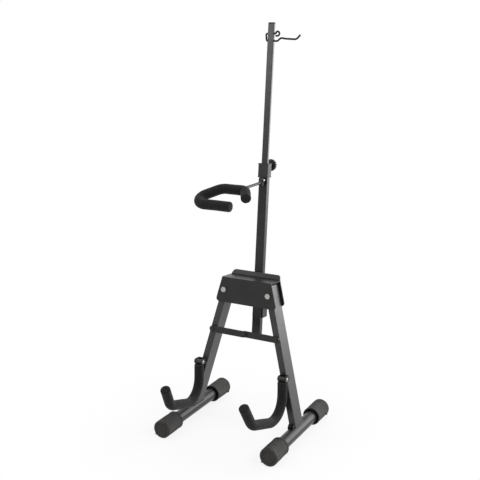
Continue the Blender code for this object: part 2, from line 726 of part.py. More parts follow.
# Yoke
def make_yoke():
    pivot_y = MAST_FRONT - YOKE_PIVOT_OUT
    back = MAST_FRONT - GAP
    tip = MAST_FRONT - CLEVIS_REACH
    half = CLEVIS_W / 2
    inside = half - CLEVIS_CHEEK
    middle = half - CLEVIS_CHEEK / 2
    floor = YOKE_PIVOT_Z - LUG_DROP - STEM_R - GAP - CLEVIS_REACH * math.sin(TILT)
    cheek = rounded([(tip, CLEVIS_FOOT), (back, CLEVIS_FOOT), (back, CLEVIS_TOP), (tip, CLEVIS_TOP)],
                    [CLEVIS_EDGE, 0, 0, CLEVIS_EDGE])
    add = (lambda bm: prism(bm, cheek, 'X', -half, -inside),
           block((-middle, tip + CLEVIS_EDGE, CLEVIS_FOOT), (middle, back, floor)))
    cut = (hole('X', (0, pivot_y, YOKE_PIVOT_Z), YOKE_PIN_R + GAP, -CLEVIS_W, CLEVIS_W),)
    piece('yoke_clevis', FRAME, None, 'paint', lambda bm: prism(bm, cheek, 'X', inside, half), add, cut)
    pivot = FRAME @ shift(0, pivot_y, YOKE_PIVOT_Z)
    piece('yoke_rivet', pivot, None, 'zinc', lambda bm: rivet(
        bm, 'X', (0, 0, 0), (-half - GAP, half + GAP), YOKE_PIN_R, YOKE_HEAD_R, YOKE_HEAD_H))
    upright = Matrix.Translation(pivot.translation)
    yoke = joint('yoke_joint', upright)
    path = filleted_path([loop_point(x, out) for x, out in LOOP_CORNERS], LOOP_BENDS, FOAM_STEP)
    wire = trimmed(path, FOAM_END, FOAM_END)
    bore = trimmed(path, FOAM_END - PLAY, FOAM_END - PLAY)
    lug = inside - SIDE_PLAY
    root = Vector(loop_point(0, 0))
    stem = [Vector((0, -LUG_R / 2, -LUG_DROP)), root + Vector((0, -STEM_R / 3, 0))]
    piece('yoke_rod', upright, yoke, 'paint', lambda bm: bar(bm, wire, STEM_R, 0.0, ROD_ROUND),
          (lambda bm: bar(bm, stem, STEM_R, 0.0, ROD_ROUND),
           lambda bm: prism(bm, lug_outline(), 'X', -lug, lug)),
          (hole('X', (0, 0, 0), YOKE_PIN_R + PLAY, -CLEVIS_W, CLEVIS_W),))
    piece('yoke_foam', upright, yoke, 'foam', lambda bm: bar(bm, path, FOAM_R, FOAM_EDGE),
          (), (lambda bm: bar(bm, bore, STEM_R + PLAY, 0.0, ROD_ROUND),
               hole('Y', root, STEM_R + PLAY, -STEM_R / 2, 2 * FOAM_R)))


def loop_point(x, out):
    """A point of the yoke's loop, which droops from the stem's end."""
    return (x, -STEM_LEN - out * math.cos(LOOP_DROOP), -LUG_DROP - out * math.sin(LOOP_DROOP))


def lug_outline():
    arc = [math.radians(-60 + 20 * i) for i in range(13)]
    high, low = LUG_TAIL_R - LUG_DROP, -LUG_TAIL_R - LUG_DROP
    return [(LUG_R * math.cos(a), LUG_R * math.sin(a)) for a in arc] + [
        (-LUG_TAIL, high), (-LUG_TAIL, low), (0.0, low)]


# Support arms
def make_arm(tag, side, leg):
    pivot = Vector(ARM_PIVOT)
    world = shift(side * pivot.x, pivot.y, pivot.z)
    in_frame = FRAME.inverted() @ pivot
    face = LEG_FRONT - in_frame.y - GAP
    inner = ARM_EYE_W / 2 + SIDE_PLAY
    outer = inner + CHEEK
    middle = inner + CHEEK / 2
    high = ARM_BRACKET_R
    cheek = rounded([(-high, -high), (face, -high), (face, high), (-high, high)],
                    [ALMOST * high, 0, 0, ALMOST * high])
    piece('arm_bracket_' + tag, world @ Matrix.Rotation(-TILT, 4, 'X'), leg, 'paint',
          lambda bm: prism(bm, cheek, 'X', inner, outer),
          (lambda bm: prism(bm, cheek, 'X', -outer, -inner),
           block((-middle, face - CHEEK, -high), (middle, face, high))),
          (hole('X', (0, 0, 0), ARM_PIN_R + GAP, -2 * outer, 2 * outer),))
    piece('arm_bolt_' + tag, world, leg, 'zinc', lambda bm: rivet(
        bm, 'X', (0, 0, 0), (-outer - GAP, outer + GAP), ARM_PIN_R, ARM_HEAD_R, ARM_HEAD_H))
    arm = joint('arm_joint_' + tag, world, leg)
    corners = [(0, 0, 0)] + [(side * (p[0] - pivot.x), p[1] - pivot.y, p[2] - pivot.z)
                             for p in (ARM_REAR_CORNER, ARM_FRONT_CORNER, ARM_TIP)]
    path = filleted_path(corners, ARM_BENDS, FOAM_STEP)
    wire = trimmed(path, 0.0, FOAM_END)
    piece('arm_rod_' + tag, world, arm, 'paint', lambda bm: bar(bm, wire, ARM_ROD_R, 0.0, ROD_ROUND),
          (lambda bm: turned(bm, 'X', (0, 0, 0), ((ARM_EYE_R, -ARM_EYE_W / 2), (ARM_EYE_R, ARM_EYE_W / 2))),),
          (hole('X', (0, 0, 0), ARM_PIN_R + PLAY, -ARM_EYE_W, ARM_EYE_W),))
    foam = trimmed(path, ARM_BRACKET_R + ARM_FOAM_GAP, 0.0)
    piece('arm_foam_' + tag, world, arm, 'foam',
          lambda bm: sleeve(bm, foam, FOAM_R, ARM_ROD_R + PLAY, FOAM_END - PLAY, FOAM_EDGE))


# Knee brace
def make_brace(tag, side, leg):
    """One link of the brace. The left one runs in front of the right one, on a spacer."""
    x = FOOT_HALF - BRACE_AT * math.sin(SPREAD)
    world = FRAME @ shift(side * x, 0, BRACE_AT * math.cos(SPREAD))
    back = LEG_FRONT - SIDE_PLAY - (BRACE_T + SIDE_PLAY if side < 0 else 0.0)
    front = back - BRACE_T
    half = BRACE_H / 2
    ends = sorted((side * half, -side * (x + half)))
    corners = [(ends[0], -half), (ends[1], -half), (ends[1], half), (ends[0], half)]
    outline = rounded(corners, [ALMOST * half] * 4)
    brace = joint('brace_joint_' + tag, world, leg)
    knee = (-side * x, 0, 0)
    cuts = (hole('Y', (0, 0, 0), BRACE_PIN_R + PLAY, 2 * front, 0),
            hole('Y', knee, BRACE_PIN_R + GAP, 2 * front, 0))
    piece('brace_link_' + tag, world, brace, 'paint',
          lambda bm: prism(bm, outline, 'Y', front, back), (), cuts)
    inside = LEG_FRONT + LEG_WALL + GAP
    outside = front - GAP
    sections = [(DOME_FLAT * BRACE_HEAD_R, outside - BRACE_HEAD_H),
                (BRACE_HEAD_R, outside - DOME_SHOULDER * BRACE_HEAD_H),
                (BRACE_HEAD_R, outside), (BRACE_PIN_R, outside)]
    if side < 0:
        ends = (back + GAP, LEG_FRONT - GAP)
        sections += [(BRACE_PIN_R, ends[0]), (BRACE_HEAD_R, ends[0]), (BRACE_HEAD_R, ends[1]),
                     (BRACE_PIN_R, ends[1])]
    sections += [(BRACE_PIN_R, inside), (BRACE_HEAD_R, inside), (BRACE_HEAD_R, inside + BRACE_HEAD_H)]
    piece('brace_rivet_' + tag, world, leg, 'paint',
          lambda bm: turned(bm, 'Y', (0, 0, 0), sections, SMALL_ROUND))
    make_knee(tag, side, world @ shift(*knee), brace, front, back)


def make_knee(tag, side, world, brace, front, back):
    """Half of the knee rivet: the head on the front link, or the tail on the rear one."""
    away = -1 if side < 0 else 1
    base = (front if side < 0 else back) + away * GAP
    into = back if side < 0 else front
    shoulder = base + away * DOME_SHOULDER * BRACE_HEAD_H
    top = base + away * BRACE_HEAD_H
    sections = ((BRACE_PIN_R, into), (BRACE_PIN_R, base), (BRACE_HEAD_R, base), (BRACE_HEAD_R, shoulder),
                (DOME_FLAT * BRACE_HEAD_R, top))
    piece('knee_rivet_' + tag, world, brace, 'paint',
          lambda bm: turned(bm, 'Y', (0, 0, 0), sections, SMALL_ROUND))


def build():
    for obj in list(bpy.data.objects):
        bpy.data.objects.remove(obj, do_unlink=True)
    make_hub()
    make_bracket()
    make_mast()
    make_collar()
    make_yoke()
    for tag, side in SIDES.items():
        leg = make_leg(tag, side)
        make_arm(tag, side, leg)
        make_brace(tag, side, leg)
    bpy.context.view_layer.update()


build()
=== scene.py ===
"""Dresses the folding violin stand: foam sleeves, ribbed rubber caps, welds, a fluted knob and materials.

Metres, +Z up, -Y is the front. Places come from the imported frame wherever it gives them.
"""
import json
import math

import bmesh
import bpy
from mathutils import Matrix, Vector, noise


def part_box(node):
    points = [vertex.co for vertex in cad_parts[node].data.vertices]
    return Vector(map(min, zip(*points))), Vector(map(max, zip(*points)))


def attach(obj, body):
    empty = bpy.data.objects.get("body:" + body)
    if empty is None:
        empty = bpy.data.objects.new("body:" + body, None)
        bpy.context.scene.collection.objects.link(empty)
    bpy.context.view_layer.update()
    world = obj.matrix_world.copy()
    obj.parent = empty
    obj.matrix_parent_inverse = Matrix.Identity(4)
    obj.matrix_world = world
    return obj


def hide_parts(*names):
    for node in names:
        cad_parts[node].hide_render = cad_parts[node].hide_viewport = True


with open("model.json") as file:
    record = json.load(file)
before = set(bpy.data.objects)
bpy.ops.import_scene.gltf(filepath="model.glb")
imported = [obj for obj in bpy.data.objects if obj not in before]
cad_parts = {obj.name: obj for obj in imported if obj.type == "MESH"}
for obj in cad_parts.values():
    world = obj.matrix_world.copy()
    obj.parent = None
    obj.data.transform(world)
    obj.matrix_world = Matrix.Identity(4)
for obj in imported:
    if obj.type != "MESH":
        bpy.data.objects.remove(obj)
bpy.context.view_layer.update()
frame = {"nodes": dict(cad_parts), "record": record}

# Camera, solved from the feet, legs and mast
CAMERA_AT = (0.6862, -1.2756, 0.7164)
CAMERA_TURN = math.radians(28.55)
CAMERA_DOWN = math.radians(13.7)
CAMERA_LENS = 62.4
SENSOR_WIDTH = 36.0

# Lamps: name, place, aim, size and power
LAMPS = (
    ("key", (2.2, -0.3, 1.9), (0, 0, 0.35), (1.3, 1.3), 22.0),
    ("rear_right", (1.15, 1.75, 0.65), (0, 0, 0.30), (1.9, 1.3), 34.0),
    ("front_left", (-1.2, -2.1, 1.25), (0, 0.08, 0.68), (0.7, 0.7), 7.0),
    ("top", (-0.8, -0.6, 2.3), (0, 0, 0.3), (1.8, 1.8), 15.0),
)
WORLD_STRENGTH = 0.50

# Floor
FLOOR_SIZE = 8.0
FLOOR_FADE = (0.12, 0.40)   # distances from the origin between which it turns fully white
FLOOR_NEAR = 0.84           # how white it is under the stand

# The frame's stance
TILT = math.radians(5.3)
SPREAD = math.radians(14.64)
LEG_SIZE = (0.0124, 0.0330)
LEG_STEPS = 14              # points on each deep side of its section, and half as many across

# Foam sleeves
FOAM_R = 0.0093
FOAM_RING = 0.0011          # spacing of the rings along a sleeve
FOAM_SIDES = 44
FOAM_LUMP = 0.00022         # uneven skin
FOAM_LUMP_SCALE = 55.0      # lumps a metre
WRINKLE = 0.00055           # folds on the inside of a bend
WRINKLE_PITCH = 0.0046
WRINKLE_BEND = 0.022        # bend radius under which the folds have their full depth
BEND_SPAN = 4               # rings each way over which a bend is measured
FOAM_EDGE_STEPS = 5
FOAM_FACE_RING = 0.55       # extra ring in an end's face, as a share of the radius
# A sleeve's end: its edge's radius, and the radius and depth of the hole in its face
CLOSED_END = (0.0028, 0.15 * FOAM_R, 0.0003)
OPEN_END = (0.0008, 0.0034, 0.004)
LOOP_BACK = (0.0, -0.0877, -0.0047)     # middle of the loop's rear run, from the yoke pivot
LOOP_DROOP = math.radians(22.0)
LOOP_CORNERS = ((0.0275, 0.0270), (0.0130, 0.0005), (-0.0330, 0.0), (-0.0788, 0.0542), (0.0125, 0.0542))
LOOP_BENDS = (0.011, 0.020, 0.018)
ARM_CORNERS = ((0.0875, -0.0154, 0.1198), (0.0880, -0.0169, 0.0380),
               (0.0823, -0.1240, 0.0743), (0.0781, -0.1464, 0.1164))
ARM_BENDS = (0.036, 0.028)
ARM_FOAM_START = 0.0056
PATH_STEP = math.radians(4)

# Foot caps
CAP_FLUTES = 30
CAP_FLUTE_DEPTH = 0.0007
CAP_POINTS = 10             # points in each flute
CAP_ROUND = 0.0030
CAP_ROUND_STEPS = 4
CAP_LIP = 0.0032
CAP_WAIST = 0.0004          # the ribbed body inside the lip
CAP_DISC_R = 0.0106         # disc in the end face, inside a groove
CAP_GROOVE = 0.0013
CAP_GROOVE_DEPTH = 0.0007
CAP_MOUTH_R = 0.0146        # the mouth stands off the tube
CAP_MOUTH_LEN = 0.0060
TAB_ANGLE = math.radians(-138)
TAB_SIZE = (0.0042, 0.0024, 0.0032)     # across, root inside the rim, and length behind TAB_FROM
TAB_FROM = 0.0013           # where its eased front edge ends, behind the cap's face
TAB_EASE = 0.0005
TAB_TAPER = 0.6             # its outer width as a share of its inner one
TUBE_R = 0.0116
TUBE_GAP = 0.0003

# Knob, with its levels behind the mast's axis
KNOB_AT = 0.0212
KNOB_H = 0.0073
KNOB_SCREW_FROM = 0.0032
KNOB_SCREW_R = 0.0022
KNOB_HUB_R = 0.0070         # plain middle of its inner face
KNOB_DISH = 0.0006          # hollow in its outer face
KNOB_FLUTES = 18
KNOB_FLUTE_DEPTH = 0.0008
KNOB_POINTS = 10
FLUTE_SHAPE = 0.6           # under 1 makes a flute's crests narrow

# Welds
BEAD_R = 0.0013
BEAD_RIPPLE = 0.0016
BEAD_STEPS = 4              # rings in each ripple
BEAD_SIDES = 10
BEAD_LOW = 0.86             # radius between ripples, as a share
BEAD_UNEVEN = 0.10
BEAD_UNEVEN_SCALE = 400.0

# Materials
RAMP_SPAN = (0.3, 0.7)      # noise values at a colour's two ends
EDGE_EASE = 0.0003
EASE_OVER = math.radians(40)
NOT_EASED = ("mast_upper", "bow_hook", "yoke_rod", "arm_rod")   # thin walls and bent wires

SIDES = {"right": 1, "left": -1}
JOINTS = {joint["name"]: joint for joint in frame["record"]["behaviour"]["joints"]}


# Nodes of a material
class Nodes:
    """A Principled material and short ways to add nodes to it."""

    def __init__(self, name, colour, roughness, level=0.5, metallic=0.0):
        self.material = bpy.data.materials.new(name)
        self.material.use_nodes = True
        self.tree = self.material.node_tree
        self.colour = colour
        self.shader = self.tree.nodes["Principled BSDF"]
        self.shader.inputs["Base Color"].default_value = (*colour, 1.0)
        self.shader.inputs["Roughness"].default_value = roughness
        self.shader.inputs["Specular IOR Level"].default_value = level
        self.shader.inputs["Metallic"].default_value = metallic
        self.place = self.tree.nodes.new("ShaderNodeTexCoord").outputs["Object"]

    def add(self, kind, **values):
        node = self.tree.nodes.new(kind)
        for key, value in values.items():
            if key in node.inputs:
                node.inputs[key].default_value = value
            else:
                setattr(node, key, value)
        return node

    def link(self, start, end):
        self.tree.links.new(start, end)

    def noise(self, scale, detail, stretch=(1, 1, 1)):
        """Noise with this many cells a metre, which a stretch draws out along an axis."""
        mapping = self.add("ShaderNodeMapping")
        mapping.inputs["Scale"].default_value = stretch
        self.link(self.place, mapping.inputs["Vector"])
        node = self.add("ShaderNodeTexNoise", Scale=scale, Detail=detail)
        self.link(mapping.outputs["Vector"], node.inputs["Vector"])
        return node.outputs["Fac"]

    def cells(self, scale):
        node = self.add("ShaderNodeTexVoronoi", Scale=scale)
        self.link(self.place, node.inputs["Vector"])
        return node.outputs["Distance"]

    def vary_colour(self, scale, detail, low, high):
        """Let noise move the base colour between two shares of itself."""
        ramp = self.add("ShaderNodeValToRGB")
        for element, position, share in zip(ramp.color_ramp.elements, RAMP_SPAN, (low, high)):
            element.position = position
            element.color = (*(c * share for c in self.colour), 1.0)
        self.link(self.noise(scale, detail), ramp.inputs["Fac"])
        self.link(ramp.outputs["Color"], self.shader.inputs["Base Color"])

    def vary_roughness(self, scale, detail, low, high):
        """Let noise move the roughness between two values."""
        spread = self.add("ShaderNodeMapRange")
        spread.inputs["To Min"].default_value = low
        spread.inputs["To Max"].default_value = high
        self.link(self.noise(scale, detail), spread.inputs["Value"])
        self.link(spread.outputs["Result"], self.shader.inputs["Roughness"])

    def bump(self, *layers):
        """Stack bumps, each a source with its depth in metres and strength."""
        normal = None
        for source, depth, strength in layers:
            node = self.add("ShaderNodeBump", Strength=strength, Distance=depth)
            self.link(source, node.inputs["Height"])
            if normal:
                self.link(normal, node.inputs["Normal"])
            normal = node.outputs["Normal"]
        self.link(normal, self.shader.inputs["Normal"])


def paint_material(name, colour, level, gloss):
    """Satin black powder coat: a fine orange peel, with faint dust in its gloss."""
    nodes = Nodes(name, colour, sum(gloss) / 2, level)
    nodes.vary_colour(45.0, 4.0, 0.80, 1.25)
    nodes.vary_roughness(160.0, 5.0, *gloss)
    nodes.bump((nodes.noise(900.0, 2.0), 0.00012, 0.30), (nodes.noise(3200.0, 2.0), 0.00004, 0.25))
    return nodes.material


def foam_material():
    """Closed-cell foam: matt, with a skin of small pores."""
    nodes = Nodes("foam_rubber", (0.010, 0.0095, 0.0093), 0.86, 0.18)
    nodes.shader.inputs["Sheen Weight"].default_value = 0.08
    nodes.shader.inputs["Sheen Roughness"].default_value = 0.5
    nodes.vary_colour(120.0, 5.0, 0.75, 1.35)
    nodes.vary_roughness(500.0, 3.0, 0.78, 0.95)
    nodes.bump((nodes.cells(1500.0), 0.00025, 0.45), (nodes.noise(2600.0, 4.0), 0.00012, 0.55),
               (nodes.noise(260.0, 3.0), 0.0003, 0.25))
    return nodes.material


def rubber_material():
    """Moulded rubber, slightly grey where it has bloomed."""
    nodes = Nodes("moulded_rubber", (0.026, 0.0245, 0.0235), 0.62, 0.28)
    nodes.vary_colour(90.0, 6.0, 0.8, 1.3)
    nodes.vary_roughness(350.0, 4.0, 0.52, 0.74)
    nodes.bump((nodes.noise(1800.0, 3.0), 0.00010, 0.35))
    return nodes.material


def plastic_material():
    """Black nylon with a fine moulded grain."""
    nodes = Nodes("moulded_nylon", (0.012, 0.012, 0.0125), 0.48, 0.40)
    nodes.vary_colour(140.0, 4.0, 0.8, 1.3)
    nodes.vary_roughness(420.0, 4.0, 0.40, 0.58)
    nodes.bump((nodes.noise(2400.0, 3.0), 0.00008, 0.4))
    return nodes.material


def zinc_material():
    """Zinc plate, with turning marks and a slightly cloudy shine."""
    nodes = Nodes("zinc_plate", (0.42, 0.42, 0.41), 0.27, metallic=1.0)
    nodes.vary_colour(380.0, 5.0, 0.75, 1.15)
    nodes.vary_roughness(900.0, 4.0, 0.18, 0.36)
    nodes.bump((nodes.noise(2600.0, 2.0, (1, 1, 6)), 0.00005, 0.4))
    return nodes.material


def weld_material():
    """The coat over a weld bead, a little rougher than on the tube."""
    nodes = Nodes("coated_weld", (0.018, 0.018, 0.018), 0.45, 0.40)
    nodes.vary_colour(600.0, 4.0, 0.8, 1.25)
    nodes.bump((nodes.noise(1500.0, 3.0), 0.0002, 0.5))
    return nodes.material


MATERIALS = {
    "paint": paint_material("powder_coat", (0.014, 0.0136, 0.0132), 0.30, (0.28, 0.40)),
    "gloss": paint_material("gloss_coat", (0.018, 0.018, 0.018), 0.36, (0.20, 0.30)),
    # The legs' coat is a lighter, shinier copy of the powder coat: painted light that brightens their lit
    # side
    "leg": paint_material("leg_coat_painted_light", (0.020, 0.0195, 0.019), 0.46, (0.30, 0.42)),
    "wire": paint_material("black_wire", (0.004, 0.004, 0.004), 0.20, (0.30, 0.42)),
    "foam": foam_material(),
    "rubber": rubber_material(),
    "plastic": plastic_material(),
    "zinc": zinc_material(),
    "weld": weld_material(),
}


# Mesh helpers
def loft(bm, rings):
    """Join rings of equal count, and close both ends."""
    verts = [[bm.verts.new(p) for p in ring] for ring in rings]
    count = len(verts[0])
    for a, b in zip(verts, verts[1:]):
        for i in range(count):
            j = (i + 1) % count
            bm.faces.new((a[i], a[j], b[j], b[i]))
    bm.faces.new(list(reversed(verts[0])))
    bm.faces.new(verts[-1])


def make_piece(name, bm, body, look, sharp):
    """An object from a mesh, which rides on a body and takes a slot's finish."""
    bmesh.ops.recalc_face_normals(bm, faces=bm.faces)
    mesh = bpy.data.meshes.new(name)
    bm.to_mesh(mesh)
    bm.free()
    mesh.shade_smooth()
    mesh.set_sharp_from_angle(angle=sharp)
    obj = bpy.data.objects.new(name, mesh)
    bpy.context.scene.collection.objects.link(obj)
    mesh.materials.append(MATERIALS[look])
    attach(obj, body)
    return obj


def corner_arc(before, here, after, radius):
    """Points of the arc that rounds a corner of a path."""
    back = (before - here).normalized()
    ahead = (after - here).normalized()
    half = back.angle(ahead) / 2
    centre = here + (back + ahead).normalized() * (radius / math.sin(half))
    first = here + back * (radius / math.tan(half)) - centre
    last = here + ahead * (radius / math.tan(half)) - centre
    count = max(2, math.ceil((math.pi - 2 * half) / PATH_STEP))
    return [centre + first.slerp(last, k / count) * radius for k in range(count + 1)]


def filleted_path(corners, bends):
    """A path through corners, each inner one rounded to its bend radius."""
    points = [Vector(p) for p in corners]
    path = [points[0]]
    for i, radius in enumerate(bends, 1):
        path += corner_arc(*points[i - 1:i + 2], radius)
    path.append(points[-1])
    return path


def resampled(path, spacing, skip=0.0):
    """Points at an even spacing along a path, from a length past its start."""
    lengths = [0.0]
    for a, b in zip(path, path[1:]):
        lengths.append(lengths[-1] + (b - a).length)
    total = lengths[-1] - skip
    count = max(2, round(total / spacing))
    out = []
    k = 0
    for i in range(count + 1):
        want = skip + total * i / count
        while k < len(path) - 2 and lengths[k + 1] < want:
            k += 1
        run = lengths[k + 1] - lengths[k]
        out.append(path[k].lerp(path[k + 1], (want - lengths[k]) / run if run else 0.0))
    return out


def tangents_of(path):
    last = len(path) - 1
    return [(path[min(i + 1, last)] - path[max(i - 1, 0)]).normalized() for i in range(last + 1)]


def frames_along(path):
    """Two directions square to the path at each point, kept from twisting."""
    side = (path[1] - path[0]).orthogonal()
    out = []
    for tangent in tangents_of(path):
        side = (side - tangent * side.dot(tangent)).normalized()
        out.append((side, tangent.cross(side)))
    return out


# Foam sleeves
def foam_rings(path, seed):
    """Rings of a sleeve: uneven skin, and folds on the inside of each bend."""
    tangents = tangents_of(path)
    frames = frames_along(path)
    rings = []
    last = len(path) - 1
    for i, point in enumerate(path):
        ahead = tangents[min(i + BEND_SPAN, last)]
        behind = tangents[max(i - BEND_SPAN, 0)]
        bend = (ahead - behind) / (FOAM_RING * 2 * BEND_SPAN)
        side, other = frames[i]
        wave = 0.5 + 0.5 * math.cos(2 * math.pi * i * FOAM_RING / WRINKLE_PITCH)
        ring = []
        for k in range(FOAM_SIDES):
            angle = 2 * math.pi * k / FOAM_SIDES
            out = side * math.cos(angle) + other * math.sin(angle)
            inward = max(0.0, out.dot(bend)) * WRINKLE_BEND
            fold = WRINKLE * min(1.0, inward) ** 1.5 * wave
            spot = (point + out * FOAM_R) * FOAM_LUMP_SCALE + Vector((seed, 0, 0))
            lump = FOAM_LUMP * noise.noise(spot)
            ring.append(point + out * (FOAM_R - FOAM_LUMP + lump - fold))
        rings.append(ring)
    return rings


def end_rings(point, tangent, ring, edge, inner, depth):
    """Rings that round a sleeve's cut end over, down to an inner radius."""
    out = []
    for k in range(1, FOAM_EDGE_STEPS + 1):
        angle = math.pi / 2 * k / FOAM_EDGE_STEPS
        scale = 1 - (edge / FOAM_R) * (1 - math.cos(angle))
        shift = tangent * (edge * math.sin(angle))
        out.append([point + (p - point) * scale + shift for p in ring])
    face = point + tangent * edge
    for radius, drop in ((FOAM_FACE_RING * FOAM_R, 0.0), (inner, 0.0), (inner, depth)):
        scale = radius / FOAM_R
        out.append([face + (p - point) * scale - tangent * drop for p in ring])
    return out


def make_foam(name, node, body, path, seed, start):
    """One foam sleeve, whose start is a closed or an open end."""
    bm = bmesh.new()
    whole = resampled(path, FOAM_RING)
    middle = whole[round(start[0] / FOAM_RING):-round(CLOSED_END[0] / FOAM_RING)]
    rings = foam_rings(middle, seed)
    tangents = tangents_of(middle)
    first = end_rings(middle[0], -tangents[0], rings[0], *start)
    last = end_rings(middle[-1], tangents[-1], rings[-1], *CLOSED_END)
    loft(bm, first[::-1] + rings + last)
    piece = make_piece(name, bm, body, "foam", math.radians(60))
    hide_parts(node)


def make_foams():
    pivot = Vector(JOINTS["yoke_fold"]["pos_m"]) + Vector(LOOP_BACK)
    ahead = Vector((0, -math.cos(LOOP_DROOP), -math.sin(LOOP_DROOP)))
    loop = [pivot + Vector((x, 0, 0)) + ahead * out for x, out in LOOP_CORNERS]
    make_foam("yoke_sleeve", "yoke_foam", "yoke", filleted_path(loop, LOOP_BENDS), 3.0, CLOSED_END)
    for tag, side in SIDES.items():
        corners = [(side * x, y, z) for x, y, z in ARM_CORNERS]
        path = resampled(filleted_path(corners, ARM_BENDS), FOAM_RING, ARM_FOAM_START)
        make_foam("arm_sleeve_" + tag, "arm_foam_" + tag, tag + "_arm", path, 11.0 + side, OPEN_END)


# Foot caps
def flute_ring(radius, depth, level, count, points):
    """A ring about Y, drawn in between its flutes' crests. One crest faces straight down."""
    out = []
    total = count * points
    for i in range(total):
        angle = 2 * math.pi * i / total - math.pi / 2
        dip = depth * (0.5 - 0.5 * math.cos(count * (angle + math.pi / 2))) ** FLUTE_SHAPE
        out.append(Vector(((radius - dip) * math.cos(angle), level, (radius - dip) * math.sin(angle))))
    return out


def add_tab(bm, radius):
    """A small moulded tab on the rim of a cap's end, which stands out by half its root's depth."""
    across, root, length = TAB_SIZE
    outward = Vector((math.cos(TAB_ANGLE), 0, math.sin(TAB_ANGLE)))
    along = Vector((-outward.z, 0, outward.x))
    end = TAB_FROM + length
    levels = ((TAB_FROM - TAB_EASE, TAB_EASE), (TAB_FROM, 0.0), (end - TAB_EASE, 0.0), (end, TAB_EASE))
    rings = []
    for level, ease in levels:
        half = across / 2 - ease
        near, far = radius - root, radius + root / 2 - ease
        corners = ((near, -half), (far, -half * TAB_TAPER), (far, half * TAB_TAPER), (near, half))
        rings.append([outward * r + along * side + Vector((0, level, 0)) for r, side in corners])
    loft(bm, rings)


def cap_sections(radius, length):
    """Radius, flute depth and level from the middle of a cap's face to inside its mouth."""
    groove = CAP_DISC_R + CAP_GROOVE
    bore = TUBE_R + TUBE_GAP
    sections = [(0.0012, 0, 0.0002), (CAP_DISC_R - 0.0004, 0, 0.0002), (CAP_DISC_R, 0, CAP_GROOVE_DEPTH),
                (groove - 0.0002, 0, CAP_GROOVE_DEPTH), (groove + 0.0003, 0, 0.0)]
    for k in range(CAP_ROUND_STEPS + 1):
        angle = math.pi / 2 * k / CAP_ROUND_STEPS
        inset = CAP_ROUND * (1 - math.sin(angle))
        sections.append((radius - inset, 0, CAP_ROUND * (1 - math.cos(angle))))
    sections += [(radius, CAP_FLUTE_DEPTH * 0.5, CAP_ROUND + 0.0008),
                 (radius, CAP_FLUTE_DEPTH, CAP_ROUND + 0.0018),
                 (radius, CAP_FLUTE_DEPTH, length * 0.5),
                 (radius - CAP_WAIST, CAP_FLUTE_DEPTH, length - CAP_LIP - 0.0012),
                 (radius - CAP_WAIST * 0.5, 0, length - CAP_LIP),
                 (radius, 0, length - CAP_LIP + 0.0009),
                 (radius, 0, length - 0.0010),
                 (radius - 0.0005, 0, length - 0.0003),
                 (radius - 0.0012, 0, length),
                 (CAP_MOUTH_R + 0.0003, 0, length),
                 (CAP_MOUTH_R, 0, length - 0.0004),
                 (CAP_MOUTH_R, 0, length - 0.0018),
                 (bore, 0, length - CAP_MOUTH_LEN),
                 (bore, 0, length - 2 * CAP_MOUTH_LEN)]
    return sections


def make_cap(tag, end):
    """A ribbed cap with a rounded end, a shallow ring in its face and a lip at its mouth."""
    node = "foot_cap_%s_%s" % (end, tag)
    low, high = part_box(node)
    radius = (high[2] - low[2]) / 2
    bm = bmesh.new()
    loft(bm, [flute_ring(*section, CAP_FLUTES, CAP_POINTS)
              for section in cap_sections(radius, high[1] - low[1])])
    add_tab(bm, radius)
    turn = Matrix.Rotation(0.0 if end == "front" else math.pi, 4, "Z")
    start = low[1] if end == "front" else high[1]
    place = Matrix.Translation(((low[0] + high[0]) / 2, start, radius)) @ turn
    bmesh.ops.transform(bm, matrix=place, verts=bm.verts)
    name = "ribbed_cap_%s_%s" % (end, tag)
    piece = make_piece(name, bm, tag + "_leg", "rubber", math.radians(30))
    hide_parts(node)


# Knob
def make_knob():
    """A fluted knob behind the collar, with its screw through the collar to the tube."""
    low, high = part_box("clamp_knob")
    radius = (high[0] - low[0]) / 2
    inner = KNOB_AT
    outer = KNOB_AT + KNOB_H
    dish = outer - KNOB_DISH
    sections = ((KNOB_SCREW_R, 0, KNOB_SCREW_FROM), (KNOB_SCREW_R, 0, inner),
                (KNOB_HUB_R, 0, inner), (KNOB_HUB_R + 0.0002, 0, inner + 0.0004),
                (KNOB_HUB_R + 0.0025, 0, inner + 0.0006),
                (radius - 0.0006, KNOB_FLUTE_DEPTH * 0.5, inner + 0.0008),
                (radius, KNOB_FLUTE_DEPTH, inner + 0.0016), (radius, KNOB_FLUTE_DEPTH, outer - 0.0017),
                (radius - 0.0004, KNOB_FLUTE_DEPTH * 0.8, outer - 0.0009),
                (radius - 0.0015, 0, outer - 0.0002), (radius - 0.0022, 0, outer),
                (radius * 0.66, 0, outer), (radius * 0.62, 0, dish), (radius * 0.10, 0, dish))
    bm = bmesh.new()
    loft(bm, [flute_ring(*section, KNOB_FLUTES, KNOB_POINTS) for section in sections])
    place = Matrix.Translation(JOINTS["knob_turn"]["pos_m"]) @ Matrix.Rotation(-TILT, 4, "X")
    bmesh.ops.transform(bm, matrix=place, verts=bm.verts)
    piece = make_piece("fluted_knob", bm, "knob", "plastic", math.radians(35))
    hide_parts("clamp_knob")


# Welds
def leg_matrix(side):
    """The leg's own axes: X across it, Y through it and Z up along it, from its hub pivot."""
    pivot = Vector(JOINTS["leg_fold_right" if side > 0 else "leg_fold_left"]["pos_m"])
    lean = Matrix.Rotation(-TILT, 4, "X")
    return Matrix.Translation(pivot) @ lean @ Matrix.Rotation(-side * SPREAD, 4, "Y")


